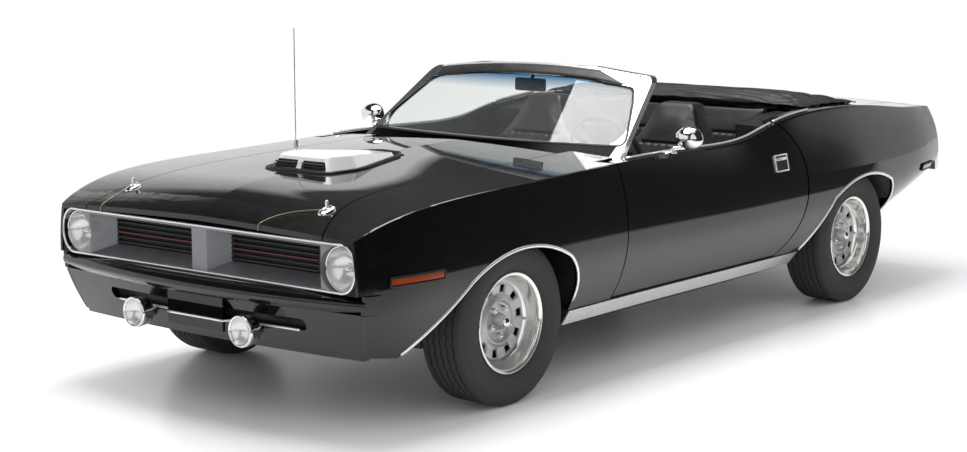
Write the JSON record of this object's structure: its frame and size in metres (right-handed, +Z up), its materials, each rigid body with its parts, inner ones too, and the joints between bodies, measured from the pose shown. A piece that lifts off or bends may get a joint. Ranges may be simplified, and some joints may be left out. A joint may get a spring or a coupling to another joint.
{
  "type": "two-door convertible muscle car",
  "caption": "Black two-door convertible car with its top folded, a scoop standing through the hood, bucket seats, slotted steel wheels, and opening doors, hood and trunk lid.",
  "frame": {"origin": "on the ground under the middle of the car's bounding box", "axes": "+X forward, +Y to the driver's side (the car's left), +Z up"},
  "size_m": [4.742, 1.97, 1.418],
  "materials": {
    "body_paint": "gloss black paint over steel",
    "underbody": "satin black paint",
    "argent": "satin silver-grey paint",
    "black_plastic": "satin black",
    "bright_trim": "polished bright metal",
    "clear_glass": "clear laminated glass",
    "lamp_glass": "fluted lamp glass",
    "marker_lens": "amber lens",
    "red_lens": "red lens",
    "vinyl": "black grained vinyl",
    "cast_iron": "bare cast iron",
    "raw_steel": "dull steel",
    "tyre_rubber": "black rubber"
  },
  "bodies": {
    "body": {"front_fender_left": "body_paint", "front_fender_right": "body_paint", "quarter_left": "body_paint", "quarter_right": "body_paint", "rear_deck": "body_paint", "tail_panel": "body_paint", "front_bumper": "body_paint", "front_valance": "body_paint", "cowl": "body_paint", "floor_pan": "underbody", "engine_bay": "underbody", "fuel_tank": "underbody", "grille": "argent", "hood_scoop": "argent", "grille_inserts": "black_plastic", "dashboard": "black_plastic", "steering_column": "black_plastic", "rear_bumper": "bright_trim", "windscreen_frame": "bright_trim", "sill_mouldings": "bright_trim", "antenna": "bright_trim", "windscreen": "clear_glass", "front_lamps": "lamp_glass", "marker_lamps": "marker_lens", "tail_lamps": "red_lens", "front_seats": "vinyl", "rear_seat": "vinyl", "cabin_trim": "vinyl", "folded_top": "vinyl", "engine": "cast_iron", "front_suspension": "cast_iron", "rear_axle": "cast_iron", "driveline": "raw_steel", "exhaust": "raw_steel"},
    "door_left": {"door_left": "body_paint", "door_fittings_left": "bright_trim"},
    "door_right": {"door_right": "body_paint", "door_fittings_right": "bright_trim"},
    "hood": {"hood": "body_paint"},
    "trunk_lid": {"trunk_lid": "body_paint"},
    "steering_wheel": {"steering_wheel": "black_plastic"},
    "knuckle_left": {"knuckle_left": "cast_iron"},
    "knuckle_right": {"knuckle_right": "cast_iron"},
    "wheel_front_left": {"wheel_front_left": "argent", "tyre_front_left": "tyre_rubber"},
    "wheel_front_right": {"wheel_front_right": "argent", "tyre_front_right": "tyre_rubber"},
    "wheel_rear_left": {"wheel_rear_left": "argent", "tyre_rear_left": "tyre_rubber"},
    "wheel_rear_right": {"wheel_rear_right": "argent", "tyre_rear_right": "tyre_rubber"}
  },
  "joints": [
    {"name": "steer_left", "type": "hinge", "parent": "body", "child": "knuckle_left", "pos_m": [1.434, 0.69, 0.329], "axis": [0, 0, 1], "range_deg": [-32, 32]},
    {"name": "steer_right", "type": "hinge", "parent": "body", "child": "knuckle_right", "pos_m": [1.434, -0.69, 0.329], "axis": [0, 0, 1], "range_deg": [-32, 32]},
    {"name": "steering_wheel_turn", "type": "hinge", "parent": "body", "child": "steering_wheel", "pos_m": [0.134, 0.39, 0.838], "axis": [-0.9434, 0, 0.3315], "range_deg": [-512, 512]},
    {"name": "roll_front_left", "type": "hinge", "parent": "knuckle_left", "child": "wheel_front_left", "pos_m": [1.434, 0.758, 0.329], "axis": [0, 1, 0], "continuous": true},
    {"name": "roll_front_right", "type": "hinge", "parent": "knuckle_right", "child": "wheel_front_right", "pos_m": [1.434, -0.758, 0.329], "axis": [0, 1, 0], "continuous": true},
    {"name": "roll_rear_left", "type": "hinge", "parent": "body", "child": "wheel_rear_left", "pos_m": [-1.309, 0.7825, 0.329], "axis": [0, 1, 0], "continuous": true},
    {"name": "roll_rear_right", "type": "hinge", "parent": "body", "child": "wheel_rear_right", "pos_m": [-1.309, -0.7825, 0.329], "axis": [0, 1, 0], "continuous": true},
    {"name": "door_left_swing", "type": "hinge", "parent": "body", "child": "door_left", "pos_m": [0.658, 0.868, 0.625], "axis": [0, 0, -1], "range_deg": [0, 65]},
    {"name": "door_right_swing", "type": "hinge", "parent": "body", "child": "door_right", "pos_m": [0.658, -0.868, 0.625], "axis": [0, 0, 1], "range_deg": [0, 65]},
    {"name": "hood_lift", "type": "hinge", "parent": "body", "child": "hood", "pos_m": [0.748, 0, 0.878], "axis": [0, -1, 0], "range_deg": [0, 45]},
    {"name": "trunk_lift", "type": "hinge", "parent": "body", "child": "trunk_lid", "pos_m": [-1.6, 0, 0.958], "axis": [0, 1, 0], "range_deg": [0, 70]}
  ],
  "couplings": [
    {"joint": "steer_right", "follows": "steer_left", "ratio": 1},
    {"joint": "steering_wheel_turn", "follows": "steer_left", "ratio": 16}
  ]
}
